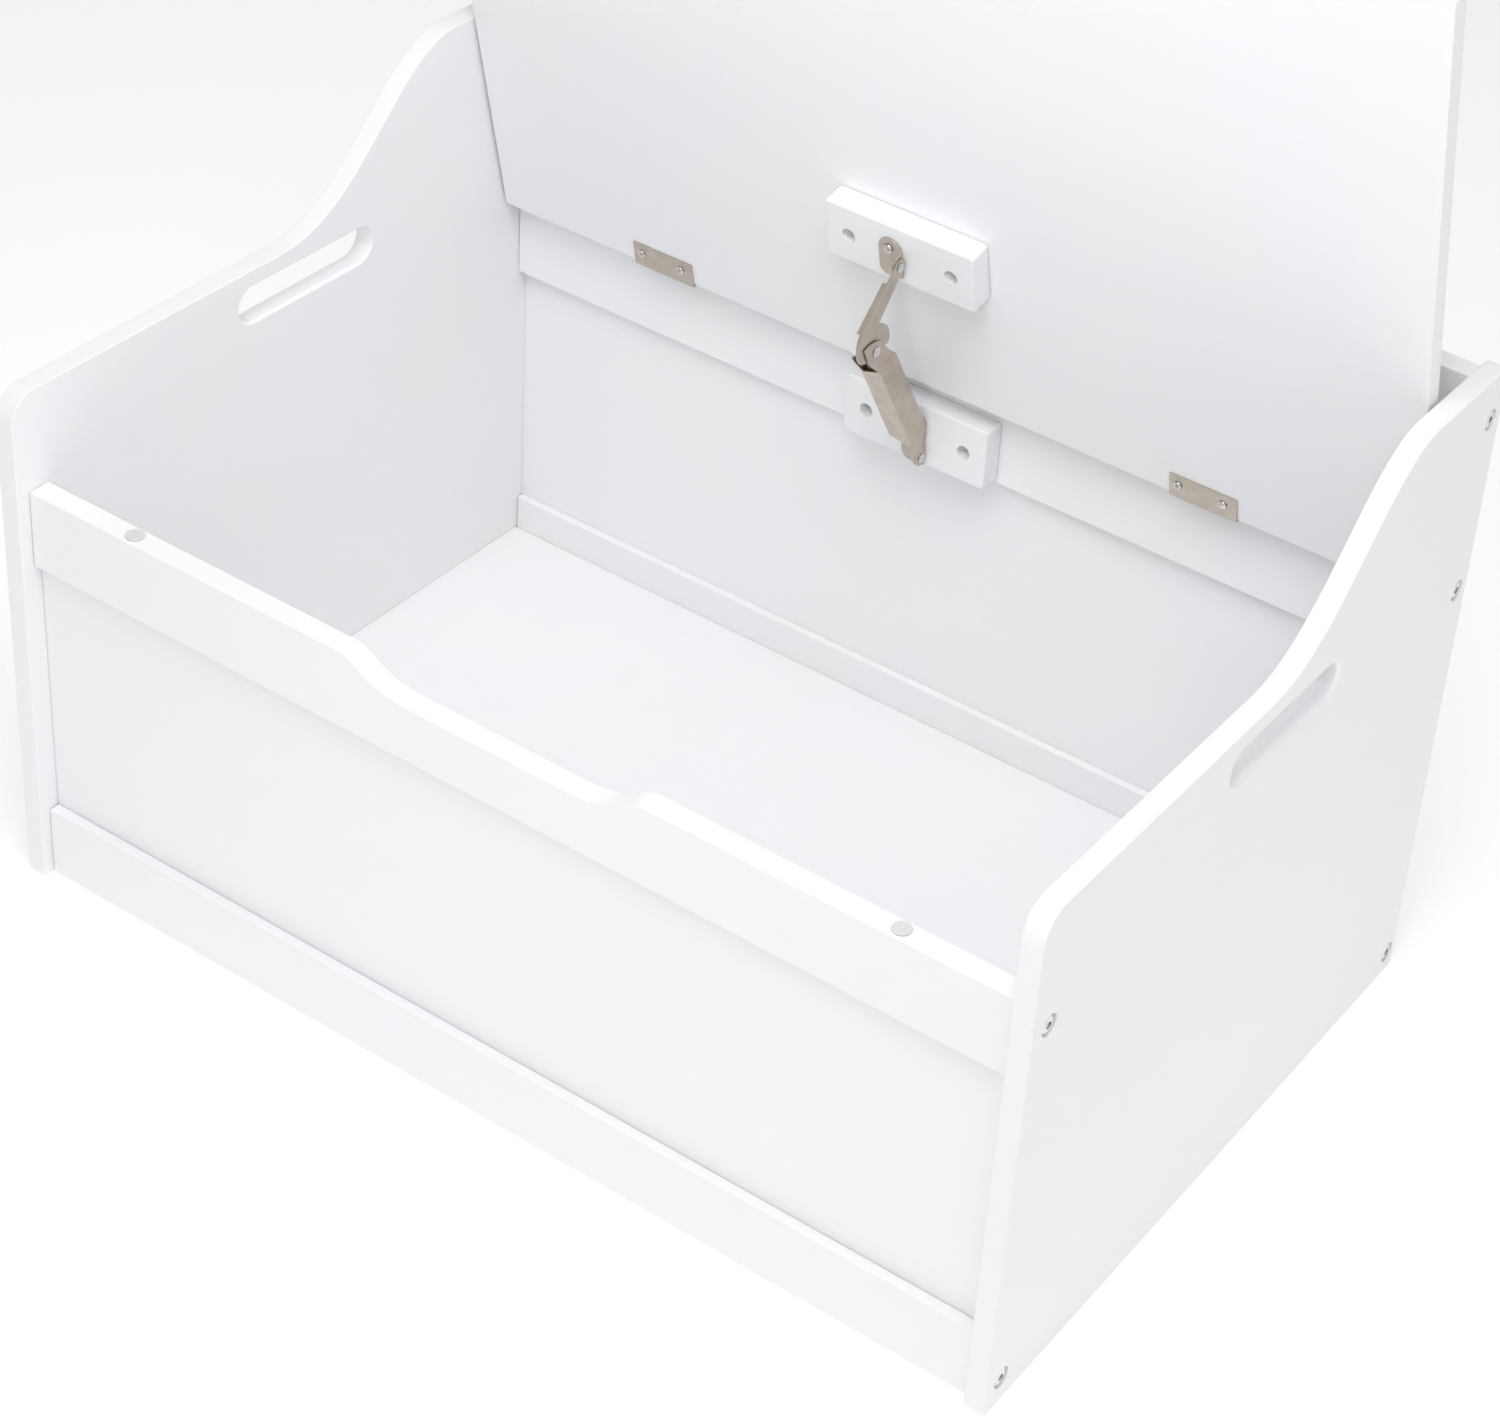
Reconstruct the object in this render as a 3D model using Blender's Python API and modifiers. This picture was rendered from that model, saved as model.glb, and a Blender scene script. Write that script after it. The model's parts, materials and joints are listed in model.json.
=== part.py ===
"""Wooden toy box with a lift-up lid, scalloped front edge, hand slots and a sprung lid stay.

Metres, Z up, front toward -Y. The lid stands open, leaning 13 degrees forward of upright.
"""
import math

import bmesh
import bpy
from mathutils import Matrix, Vector

# ---------------------------------------------------------------- driving dimensions
WIDTH = 0.840
DEPTH = 0.550
REAR_HEIGHT = 0.525        # rear part of the side panels
SIDE_HEIGHT = 0.412        # front part of the side panels
SIDE_T = 0.0165
BOARD_T = 0.018            # rails
LID_T = 0.0155
THIN_T = 0.005             # front, back and floor sheets
GAP = 0.0003
ROUND = 0.0015             # eased edges of the boards

FRONT_RAIL_Y = 0.010       # front faces, measured from the side panels' front edge
FRONT_RAIL_LOW = 0.272
FRONT_RAIL_TOP = 0.334
SCOOP_DROP = 0.018
SCOOP_HALF = 0.124
SCOOP_FLAT = 0.066
KICK_Y = 0.008
KICK_TOP = 0.058
SHEET_Y = 0.017
BACK_RAIL_Y = 0.526
BACK_RAIL_LOW = 0.280
BACK_RAIL_TOP = 0.522
BATTEN_Y = 0.530
BATTEN_TOP = 0.062
BACK_SHEET_Y = 0.5365
FLOOR_TOP = 0.032

SLOT_Y = 0.286
SLOT_Z = 0.383
SLOT_LONG = 0.138
SLOT_HIGH = 0.028

HINGE_Y = 0.5231           # lid hinge axis
HINGE_Z = 0.3515
LID_OPEN = 77.0            # degrees from closed to the rest position
LID_WIDE = 0.803
LID_FRONT = 0.014          # front edge of the closed lid
LID_BACK = 0.5204
BUMP_HIGH = 0.0017

LEAF_T = 0.0011
KNUCKLE_R = 0.0024
LEAF_WIDE = 0.0555
HINGE_X = (-0.2725, 0.2050)

BLOCK_WIDE = 0.126
BLOCK_HIGH = 0.050
BLOCK_DEEP = 0.020
LID_BLOCK_X = -0.005
LID_BLOCK_S = 0.1425       # distance of the block's middle from the hinge
BASE_BLOCK_X = -0.010
BASE_BLOCK_Z = 0.309

PIVOT_S = 0.140            # lid end pivot of the stay, along the lid from the hinge
PIVOT_DROP = 0.043         # and below the hinge axis with the lid closed
BASE_PIVOT_Y = 0.4985
BASE_PIVOT_Z = 0.2945
RIVET_R = 0.0022

HALF = WIDTH / 2
INNER = HALF - SIDE_T
MID_Y = DEPTH / 2

for old in list(bpy.data.objects):
    bpy.data.objects.remove(old, do_unlink=True)

scene = bpy.context.scene
toy_box = bpy.data.collections.new("wooden_toy_box")
cutters = bpy.data.collections.new("cutters")
scene.collection.children.link(toy_box)
scene.collection.children.link(cutters)


# ---------------------------------------------------------------- helpers
def material(name, colour, rough, metal=0.0):
    mat = bpy.data.materials.new(name)
    mat.use_nodes = True
    shader = mat.node_tree.nodes["Principled BSDF"]
    shader.inputs["Base Color"].default_value = (*colour, 1.0)
    shader.inputs["Roughness"].default_value = rough
    shader.inputs["Metallic"].default_value = metal
    mat.diffuse_color = (*colour, 1.0)
    return mat


WHITE = (0.86, 0.87, 0.88)
NICKEL = (0.46, 0.41, 0.35)
STEEL = (0.62, 0.61, 0.58)


def painted(name):
    return material(name + "_paint", WHITE, 0.42)


def plated(name):
    return material(name + "_nickel", NICKEL, 0.34, 1.0)


def bright(name):
    return material(name + "_steel", STEEL, 0.28, 1.0)


def make(name, bm, mat, group=None):
    bmesh.ops.recalc_face_normals(bm, faces=bm.faces)
    mesh = bpy.data.meshes.new(name)
    bm.to_mesh(mesh)
    bm.free()
    obj = bpy.data.objects.new(name, mesh)
    (group or toy_box).objects.link(obj)
    if mat is not None:
        mesh.materials.append(mat)
    return obj


def set_origin(obj, point):
    obj.data.transform(Matrix.Translation(-Vector(point)))
    obj.location = point


AXES = {"X": (1, 2, 0), "Y": (0, 2, 1), "Z": (0, 1, 2)}


def prism_bm(outline, axis, low, high):
    """Flat outline as one face, extruded along an axis into a closed solid."""
    a, b, c = AXES[axis]
    bm = bmesh.new()
    ring = []
    for p, q in outline:
        co = [0.0, 0.0, 0.0]
        co[a], co[b], co[c] = p, q, low
        ring.append(bm.verts.new(co))
    face = bm.faces.new(ring)
    push = [0.0, 0.0, 0.0]
    push[c] = high - low
    grown = bmesh.ops.extrude_face_region(bm, geom=[face])
    tops = [part for part in grown["geom"] if isinstance(part, bmesh.types.BMVert)]
    bmesh.ops.translate(bm, verts=tops, vec=push)
    bmesh.ops.recalc_face_normals(bm, faces=bm.faces)
    return bm


def ease(obj, width, segments=2, angle=35.0):
    mod = obj.modifiers.new("ease", "BEVEL")
    mod.width = width
    mod.segments = segments
    mod.limit_method = "ANGLE"
    mod.angle_limit = math.radians(angle)
    mod.miter_outer = "MITER_ARC"
    return obj


def prism(name, outline, axis, low, high, mat, width=ROUND, segments=2):
    obj = make(name, prism_bm(outline, axis, low, high), mat)
    if width:
        ease(obj, width, segments)
    return obj


def box_outline(a0, a1, b0, b1):
    return [(a0, b0), (a1, b0), (a1, b1), (a0, b1)]


def arc(cx, cy, radius, start, end, steps):
    pts = []
    for i in range(steps + 1):
        t = math.radians(start + (end - start) * i / steps)
        pts.append((cx + radius * math.cos(t), cy + radius * math.sin(t)))
    return pts


def bezier(p0, p1, p2, p3, steps):
    pts = []
    for i in range(steps + 1):
        t = i / steps
        w = ((1 - t) ** 3, 3 * t * (1 - t) ** 2, 3 * t * t * (1 - t), t ** 3)
        pts.append(tuple(sum(k * p[n] for k, p in zip(w, (p0, p1, p2, p3))) for n in (0, 1)))
    return pts


def rounded_rect(a0, a1, b0, b1, radii, steps=5):
    """Corner radii run from the low-low corner, counter-clockwise."""
    corners = [(a0, b0, 1, 1, 180), (a1, b0, -1, 1, 270), (a1, b1, -1, -1, 0), (a0, b1, 1, -1, 90)]
    pts = []
    for (a, b, da, db, start), r in zip(corners, radii):
        if r:
            pts += arc(a + da * r, b + db * r, r, start, start + 90, steps)
        else:
            pts.append((a, b))
    return pts


def cut(target, bm, tag):
    """Exact boolean with a cutter kept in its own collection."""
    tool = make(target.name + "_" + tag, bm, None, cutters)
    tool.hide_render = True
    tool.display_type = "WIRE"
    mod = target.modifiers.new(tag, "BOOLEAN")
    mod.operation = "DIFFERENCE"
    mod.solver = "EXACT"
    mod.object = tool
    return tool


def rod_bm(bm, start, end, radius, sides=20):
    """Adds a plain cylinder between two points."""
    start, end = Vector(start), Vector(end)
    way = end - start
    turn = way.to_track_quat("Z", "Y").to_matrix().to_4x4()
    place = Matrix.Translation((start + end) / 2) @ turn
    bmesh.ops.create_cone(bm, cap_ends=True, segments=sides, radius1=radius, radius2=radius,
                          depth=way.length, matrix=place)
    return bm


def box_bm(bm, low, high):
    size = [h - l for l, h in zip(low, high)]
    mid = [(h + l) / 2 for l, h in zip(low, high)]
    place = Matrix.Translation(mid) @ Matrix.Diagonal((*size, 1.0))
    bmesh.ops.create_cube(bm, size=1.0, matrix=place)
    return bm


def turned(name, profile, sides=24, group=None):
    """Turned shape about Z; the profile starts on the axis at the top and runs down the outside."""
    bm = bmesh.new()
    points = [bm.verts.new((r, 0.0, z)) for r, z in profile]
    for one, two in zip(points, points[1:]):
        bm.edges.new((one, two))
    mesh = bpy.data.meshes.new(name)
    bm.to_mesh(mesh)
    bm.free()
    obj = bpy.data.objects.new(name, mesh)
    (group or toy_box).objects.link(obj)
    mod = obj.modifiers.new("turn", "SCREW")
    mod.steps = sides
    mod.render_steps = sides
    mod.use_merge_vertices = True
    mod.merge_threshold = 0.00001
    return obj


def baked(obj):
    """Mesh of an object with its modifiers; the object itself is removed."""
    bpy.context.view_layer.update()
    graph = bpy.context.evaluated_depsgraph_get()
    mesh = bpy.data.meshes.new_from_object(obj.evaluated_get(graph))
    bpy.data.objects.remove(obj, do_unlink=True)
    return mesh


def place(name, mesh, mat, point, way):
    """Own copy of a shared shape, its +Z along the given way."""
    data = mesh.copy()
    data.materials.clear()
    data.materials.append(mat)
    data.shade_smooth()
    data.set_sharp_from_angle(angle=math.radians(40))
    obj = bpy.data.objects.new(name, data)
    toy_box.objects.link(obj)
    obj.location = point
    obj.rotation_euler = Vector(way).to_track_quat("Z", "Y").to_euler()
    return obj


def cross_outline(long, half):
    """Plus-shaped outline with arms of the given length and half width."""
    corner = [(long, -half), (long, half), (half, half)]
    pts = []
    for n in range(4):
        c, k = round(math.cos(n * math.pi / 2)), round(math.sin(n * math.pi / 2))
        pts += [(x * c - y * k, x * k + y * c) for x, y in corner]
    return pts


def screw_mesh(head, shank, length, tall):
    """Pan head with a cross recess; the head's seat is at zero and the shank runs down."""
    profile = [(0.0, tall), (head * 0.66, tall), (head * 0.86, tall * 0.82), (head * 0.98, tall * 0.4),
               (head, 0.0), (shank, 0.0), (shank, -length * 0.8), (shank * 0.3, -length), (0.0, -length)]
    blank = turned("screw_blank", profile, 12)
    cross = cut(blank, prism_bm(cross_outline(head * 0.56, head * 0.17), "Z", tall * 0.3, tall + 0.001), "cross")
    mesh = baked(blank)
    bpy.data.objects.remove(cross, do_unlink=True)
    return mesh


def bolt_mesh():
    """Connector bolt: flat round head with a hexagon socket."""
    profile = [(0.0, 0.0024), (0.0052, 0.0024), (0.0063, 0.0020), (0.0067, 0.0012), (0.0067, 0.0),
               (0.0030, 0.0), (0.0030, -0.0365), (0.0024, -0.0380), (0.0, -0.0380)]
    blank = turned("bolt_blank", profile, 16)
    socket = bmesh.new()
    rod_bm(socket, (0, 0, 0.0005), (0, 0, 0.0040), 0.0029, 6)
    tool = cut(blank, socket, "socket")
    mesh = baked(blank)
    bpy.data.objects.remove(tool, do_unlink=True)
    return mesh


# ---------------------------------------------------------------- lid frame
HINGE = Vector((0.0, HINGE_Y - MID_Y, HINGE_Z))
OPEN = (Matrix.Translation(HINGE) @ Matrix.Rotation(math.radians(-LID_OPEN), 4, "X")
        @ Matrix.Translation(-HINGE))


LID_UNDER = HINGE_Z - LID_T
PIVOT = OPEN @ Vector((0.0, HINGE_Y - PIVOT_S - MID_Y, HINGE_Z - PIVOT_DROP))
BASE = Vector((0.0, BASE_PIVOT_Y - MID_Y, BASE_PIVOT_Z))
KNEE = PIVOT + BASE - HINGE          # parallelogram: hinge, lid pivot, knee, base pivot
OPEN_TURN = Matrix.Rotation(math.radians(-LID_OPEN), 4, "X")


# ---------------------------------------------------------------- side panels
def side_outline():
    front = arc(0.022 - MID_Y, SIDE_HEIGHT - 0.022, 0.022, 180, 90, 8)
    rise = bezier((0.262 - MID_Y, SIDE_HEIGHT), (0.345 - MID_Y, SIDE_HEIGHT),
                  (0.385 - MID_Y, REAR_HEIGHT), (0.450 - MID_Y, REAR_HEIGHT), 18)
    rear = arc(MID_Y - 0.004, REAR_HEIGHT - 0.004, 0.004, 90, 0, 3)
    return [(MID_Y, 0.0), (-MID_Y, 0.0)] + front + rise + rear


BOLT_SPOTS = (
    (FRONT_RAIL_Y + BOARD_T / 2, 0.319),
    (KICK_Y + BOARD_T / 2, 0.021),
    (BACK_RAIL_Y + BOARD_T / 2, 0.490),
    (BACK_RAIL_Y + BOARD_T / 2, 0.350),
    (BATTEN_Y + BOARD_T / 2, 0.018),
)
BOLT_RECESS_R = 0.0082
BOLT_RECESS = 0.0032


def slot_bm(x0, x1):
    """Hand slot with eased rims, as four stadium rings through the panel."""
    bm = bmesh.new()
    rings = []
    levels = ((x0 - 0.001, 0.0032), (x0 + 0.0022, 0.0), (x1 - 0.0022, 0.0), (x1 + 0.001, 0.0032))
    for x, grow in levels:
        r = SLOT_HIGH / 2 + grow
        reach = SLOT_LONG / 2 - SLOT_HIGH / 2
        y = SLOT_Y - MID_Y
        pts = arc(y + reach, SLOT_Z, r, -90, 90, 12) + arc(y - reach, SLOT_Z, r, 90, 270, 12)
        rings.append([bm.verts.new((x, p, q)) for p, q in pts])
    bm.faces.new(rings[0])
    bm.faces.new(rings[-1][::-1])
    for low, high in zip(rings, rings[1:]):
        for i in range(len(low)):
            j = (i + 1) % len(low)
            bm.faces.new((low[i], high[i], high[j], low[j]))
    bmesh.ops.recalc_face_normals(bm, faces=bm.faces)
    return bm


def side_panel(name, side):
    x0, x1 = sorted((side * INNER, side * HALF))
    panel = prism(name, side_outline(), "X", x0, x1, painted(name))
    cut(panel, slot_bm(x0, x1), "slot")
    bolts = bmesh.new()
    for y, z in BOLT_SPOTS:
        out = side * (HALF + 0.002)
        rod_bm(bolts, (side * (HALF - BOLT_RECESS), y - MID_Y, z), (out, y - MID_Y, z), BOLT_RECESS_R, 20)
    cut(panel, bolts, "recesses")
    holes = bmesh.new()
    for y, z in BOLT_SPOTS:
        rod_bm(holes, (side * (INNER - 0.002), y - MID_Y, z),
               (side * (HALF - BOLT_RECESS + 0.001), y - MID_Y, z), 0.0034, 12)
    cut(panel, holes, "bolt_holes")
    grooves = bmesh.new()
    deep = side * (INNER + 0.0053)
    near = side * (INNER - 0.002)
    for y0, y1, z0, z1 in (
        (SHEET_Y, SHEET_Y + THIN_T, KICK_TOP - 0.006, FRONT_RAIL_LOW + 0.006),
        (BACK_SHEET_Y, BACK_SHEET_Y + THIN_T, BATTEN_TOP - 0.006, BACK_RAIL_LOW + 0.006),
        (KICK_Y + BOARD_T, BATTEN_Y, FLOOR_TOP - 0.008, FLOOR_TOP),
    ):
        a, b = sorted((deep, near))
        box_bm(grooves, (a, y0 - MID_Y - GAP, z0 - GAP), (b, y1 - MID_Y + GAP, z1 + GAP))
    cut(panel, grooves, "grooves")
    return panel


side_panel("side_panel_left", -1)
side_panel("side_panel_right", 1)


# ---------------------------------------------------------------- rails and sheets
def rail_holes(target, front, spots):
    """Bores for the connector bolts in both ends of a rail."""
    bores = bmesh.new()
    for side in (-1, 1):
        for z in spots:
            y = front + BOARD_T / 2 - MID_Y
            rod_bm(bores, (side * (INNER + 0.002), y, z), (side * (INNER - 0.026), y, z), 0.0034, 12)
    cut(target, bores, "bores")


END = INNER - GAP


def scoop_outline():
    low = FRONT_RAIL_TOP - SCOOP_DROP
    right = bezier((SCOOP_FLAT, low), (0.104, low), (0.108, FRONT_RAIL_TOP - 0.001),
                   (SCOOP_HALF, FRONT_RAIL_TOP), 10)
    left = [(-x, z) for x, z in reversed(right)]
    return ([(END, FRONT_RAIL_LOW), (END, FRONT_RAIL_TOP)] + right[::-1] + left[::-1]
            + [(-END, FRONT_RAIL_TOP), (-END, FRONT_RAIL_LOW)])


front_rail = prism("front_top_rail", scoop_outline(), "Y", FRONT_RAIL_Y - MID_Y,
                   FRONT_RAIL_Y + BOARD_T - MID_Y, painted("front_top_rail"))
groove = bmesh.new()
box_bm(groove, (-HALF, SHEET_Y - MID_Y - GAP, FRONT_RAIL_LOW - 0.004),
       (HALF, SHEET_Y + THIN_T - MID_Y + GAP, FRONT_RAIL_LOW + 0.006))
cut(front_rail, groove, "groove")
rail_holes(front_rail, FRONT_RAIL_Y, (BOLT_SPOTS[0][1],))
BUMP_X = (-0.313, 0.313)
BUMP_Y = FRONT_RAIL_Y + BOARD_T / 2
bump_holes = bmesh.new()
for x in BUMP_X:
    rod_bm(bump_holes, (x, BUMP_Y - MID_Y, FRONT_RAIL_TOP - 0.0103),
           (x, BUMP_Y - MID_Y, FRONT_RAIL_TOP + 0.002), 0.0043, 20)
cut(front_rail, bump_holes, "bump_holes")

kick = prism("front_bottom_rail",
             box_outline(KICK_Y - MID_Y, KICK_Y + BOARD_T - MID_Y, 0.0, KICK_TOP), "X", -END, END,
             painted("front_bottom_rail"))
groove = bmesh.new()
box_bm(groove, (-HALF, SHEET_Y - MID_Y - GAP, KICK_TOP - 0.006),
       (HALF, SHEET_Y + THIN_T - MID_Y + GAP, KICK_TOP + 0.004))
cut(kick, groove, "groove")
rail_holes(kick, KICK_Y, (BOLT_SPOTS[1][1],))

SHEET_END = INNER + 0.005
prism("front_panel", box_outline(-SHEET_END, SHEET_END, KICK_TOP - 0.0055, FRONT_RAIL_LOW + 0.0055),
      "Y", SHEET_Y - MID_Y, SHEET_Y + THIN_T - MID_Y, painted("front_panel"), 0.0)

back_rail = prism("back_top_rail",
                  box_outline(-END, END, BACK_RAIL_LOW, BACK_RAIL_TOP), "Y", BACK_RAIL_Y - MID_Y,
                  BACK_RAIL_Y + BOARD_T - MID_Y, painted("back_top_rail"))
groove = bmesh.new()
box_bm(groove, (-HALF, BACK_SHEET_Y - MID_Y - GAP, BACK_RAIL_LOW - 0.004),
       (HALF, BACK_SHEET_Y + THIN_T - MID_Y + GAP, BACK_RAIL_LOW + 0.006))
cut(back_rail, groove, "groove")
rail_holes(back_rail, BACK_RAIL_Y, (BOLT_SPOTS[2][1], BOLT_SPOTS[3][1]))

prism("back_panel", box_outline(-SHEET_END, SHEET_END, BATTEN_TOP - 0.0055, BACK_RAIL_LOW + 0.0055),
      "Y", BACK_SHEET_Y - MID_Y, BACK_SHEET_Y + THIN_T - MID_Y, painted("back_panel"), 0.0)

batten = prism("back_bottom_rail",
               box_outline(BATTEN_Y - MID_Y, BATTEN_Y + BOARD_T - MID_Y, 0.0, BATTEN_TOP), "X",
               -END, END, painted("back_bottom_rail"))
groove = bmesh.new()
box_bm(groove, (-HALF, BACK_SHEET_Y - MID_Y - GAP, BATTEN_TOP - 0.006),
       (HALF, BACK_SHEET_Y + THIN_T - MID_Y + GAP, BATTEN_TOP + 0.004))
cut(batten, groove, "groove")
rail_holes(batten, BATTEN_Y, (BOLT_SPOTS[4][1],))

prism("floor_panel", box_outline(-SHEET_END, SHEET_END, KICK_Y + BOARD_T - MID_Y + GAP,
                                 BATTEN_Y - MID_Y - GAP), "Z", FLOOR_TOP - 0.008, FLOOR_TOP,
      painted("floor_panel"), 0.0)

# ---------------------------------------------------------------- lid
LID_Y0 = LID_FRONT - MID_Y
LID_Y1 = LID_BACK - MID_Y
lid = prism("lid", rounded_rect(-LID_WIDE / 2, LID_WIDE / 2, LID_Y0, LID_Y1,
                                (0.004, 0.004, 0.003, 0.003)),
            "Z", LID_UNDER, HINGE_Z, painted("lid"), 0.0016)

# ---------------------------------------------------------------- bumpers on the front rail
for tag, x in zip(("left", "right"), BUMP_X):
    pad = turned("bumper_" + tag, [(0.0, BUMP_HIGH), (0.0052, BUMP_HIGH), (0.0063, BUMP_HIGH - 0.0003),
                                   (0.0068, 0.0011), (0.0066, GAP), (0.0040, GAP), (0.0040, -0.0095),
                                   (0.0, -0.0095)], 20)
    pad.data.materials.append(material("bumper_" + tag + "_silicone", (0.88, 0.89, 0.90), 0.5))
    pad.location = (x, BUMP_Y - MID_Y, FRONT_RAIL_TOP)

# ---------------------------------------------------------------- wooden blocks of the stay
LID_BLOCK_Y = HINGE_Y - LID_BLOCK_S - MID_Y
BLOCK_FACE_Z = LID_UNDER - GAP - BLOCK_DEEP
lid_block = prism("lid_block",
                  rounded_rect(LID_BLOCK_X - BLOCK_WIDE / 2, LID_BLOCK_X + BLOCK_WIDE / 2,
                               LID_BLOCK_Y - BLOCK_HIGH / 2, LID_BLOCK_Y + BLOCK_HIGH / 2,
                               (0.003,) * 4, 3),
                  "Z", BLOCK_FACE_Z, LID_UNDER - GAP, painted("lid_block"), 0.0018)
BASE_FACE = BACK_RAIL_Y - GAP - BLOCK_DEEP - MID_Y
base_block = prism("base_block",
                   rounded_rect(BASE_BLOCK_X - BLOCK_WIDE / 2, BASE_BLOCK_X + BLOCK_WIDE / 2,
                                BASE_BLOCK_Z - BLOCK_HIGH / 2, BASE_BLOCK_Z + BLOCK_HIGH / 2,
                                (0.003,) * 4, 3),
                   "Y", BASE_FACE, BASE_FACE + BLOCK_DEEP, painted("base_block"), 0.0018)

# ---------------------------------------------------------------- bolts and screws
BOLT = bolt_mesh()
LEAF_SCREW = screw_mesh(0.0034, 0.0015, 0.0100, 0.0011)
BLOCK_SCREW = screw_mesh(0.0044, 0.0019, 0.0225, 0.0020)
PLATE_SCREW = screw_mesh(0.0038, 0.0016, 0.0135, 0.0015)

for side, tag in ((-1, "left"), (1, "right")):
    for label, (y, z) in zip(("front_top", "front_low", "rear_top", "rear_mid", "rear_low"), BOLT_SPOTS):
        name = "bolt_%s_%s" % (tag, label)
        place(name, BOLT, bright(name), (side * (HALF - BOLT_RECESS + GAP), y - MID_Y, z), (side, 0, 0))


def screw(name, mesh, point, way, lid_part=False):
    if lid_part:
        point = OPEN @ Vector(point)
        way = OPEN_TURN @ Vector(way)
    return place(name, mesh, bright(name), point, way)


lid_bores = bmesh.new()
rail_bores = bmesh.new()
lid_block_sinks = bmesh.new()
lid_block_bores = bmesh.new()
base_block_sinks = bmesh.new()
base_block_bores = bmesh.new()


def through(point, way, back, ahead, radius, sides=14, bm=None):
    """Adds a bore along a direction, from behind the point to ahead of it."""
    point, way = Vector(point), Vector(way)
    return rod_bm(bm if bm is not None else bmesh.new(), point - way * back, point + way * ahead, radius, sides)


# ---------------------------------------------------------------- hinges
def leaf_strip(name, x0, x1, path):
    """Bent sheet: a flat strip along a path in Y and Z, thickened by Solidify."""
    bm = bmesh.new()
    lefts = [bm.verts.new((x0, y, z)) for y, z in path]
    rights = [bm.verts.new((x1, y, z)) for y, z in path]
    for i in range(len(path) - 1):
        bm.faces.new((lefts[i], rights[i], rights[i + 1], lefts[i + 1]))
    obj = make(name, bm, plated(name))
    mod = obj.modifiers.new("sheet", "SOLIDIFY")
    mod.thickness = LEAF_T
    mod.offset = 0.0
    mod.use_even_offset = True
    return obj


HY = HINGE_Y - MID_Y
ROLL = KNUCKLE_R - LEAF_T / 2
PIN_R = ROLL - LEAF_T / 2 - 0.0003
RAIL_Y = BACK_RAIL_Y - MID_Y


def knuckle_path(start, end, steps=14):
    return [(HY + ROLL * math.cos(math.radians(start + (end - start) * i / steps)),
             HINGE_Z + ROLL * math.sin(math.radians(start + (end - start) * i / steps)))
            for i in range(steps + 1)]


UNDER = LID_UNDER - LEAF_T / 2 - GAP
LEAF_REACH = 0.020
LEAF_SCREWS = (0.0072, 0.0440)

for tag, x0 in zip(("left", "right"), HINGE_X):
    x1 = x0 + LEAF_WIDE
    # lid leaf: flat under the lid, up its back edge, rolled round the pin
    name = "hinge_lid_leaf_" + tag
    flat = [(LID_BACK - MID_Y - LEAF_REACH, UNDER), (HY - ROLL, UNDER)]
    lid_leaf = leaf_strip(name, x0, x1, flat + knuckle_path(180, -90, 14))
    trim = bmesh.new()
    for a, b in ((x0 - 0.001, x0 + 0.0139), (x0 + 0.0277, x0 + 0.0417)):
        box_bm(trim, (a, HY - KNUCKLE_R - 0.0002, UNDER + 0.0012), (b, HY + 0.006, HINGE_Z + 0.006))
    tools = [cut(lid_leaf, trim, "knuckle_gaps")]
    # rail leaf: down the back rail, rolled forward round the pin
    other = "hinge_rail_leaf_" + tag
    face = RAIL_Y - LEAF_T / 2 - GAP
    rise = [(face, HINGE_Z + 0.0215), (face, HINGE_Z + 0.0022)]
    rail_leaf = leaf_strip(other, x0, x1, rise + knuckle_path(-4, -270, 14))
    trim = bmesh.new()
    for a, b in ((x0 + 0.0135, x0 + 0.0281), (x0 + 0.0413, x1 + 0.001)):
        box_bm(trim, (a, HY - 0.004, HINGE_Z - 0.005), (b, HY + 0.004, HINGE_Z + 0.0029))
    cut(rail_leaf, trim, "knuckle_gaps")
    pin = turned("hinge_pin_" + tag, [(0.0, LEAF_WIDE + 0.0004), (PIN_R * 0.7, LEAF_WIDE + 0.0004),
                                      (PIN_R, LEAF_WIDE), (PIN_R, 0.0), (PIN_R * 0.7, -0.0004),
                                      (0.0, -0.0004)], 12)
    pin.data.materials.append(bright(pin.name))
    pin.location = (x0, HY, HINGE_Z)
    pin.rotation_euler = (0.0, math.radians(90), 0.0)
    for n, dx in enumerate(LEAF_SCREWS):
        seat = (x0 + dx, LID_BACK - MID_Y - 0.0110, LID_UNDER - GAP)
        screw("screw_lid_%s_%d" % (tag, n + 1), LEAF_SCREW, (seat[0], seat[1], seat[2] - LEAF_T - GAP),
              (0, 0, -1), True)
        through(seat, (0, 0, 1), 0.002, 0.0095, 0.0018, 14, lid_bores)
        tools.append(cut(lid_leaf, through(seat, (0, 0, 1), 0.003, 0.003, 0.0018), "hole_%d" % n))
        seat = (x0 + dx, RAIL_Y - GAP, HINGE_Z + 0.0125)
        screw("screw_rail_%s_%d" % (tag, n + 1), LEAF_SCREW, (seat[0], seat[1] - LEAF_T - GAP, seat[2]),
              (0, -1, 0))
        through(seat, (0, 1, 0), 0.002, 0.0095, 0.0018, 14, rail_bores)
        cut(rail_leaf, through(seat, (0, 1, 0), 0.003, 0.003, 0.0018), "hole_%d" % n)
    for thing in [lid_leaf] + tools:
        thing.data.transform(OPEN)

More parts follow.
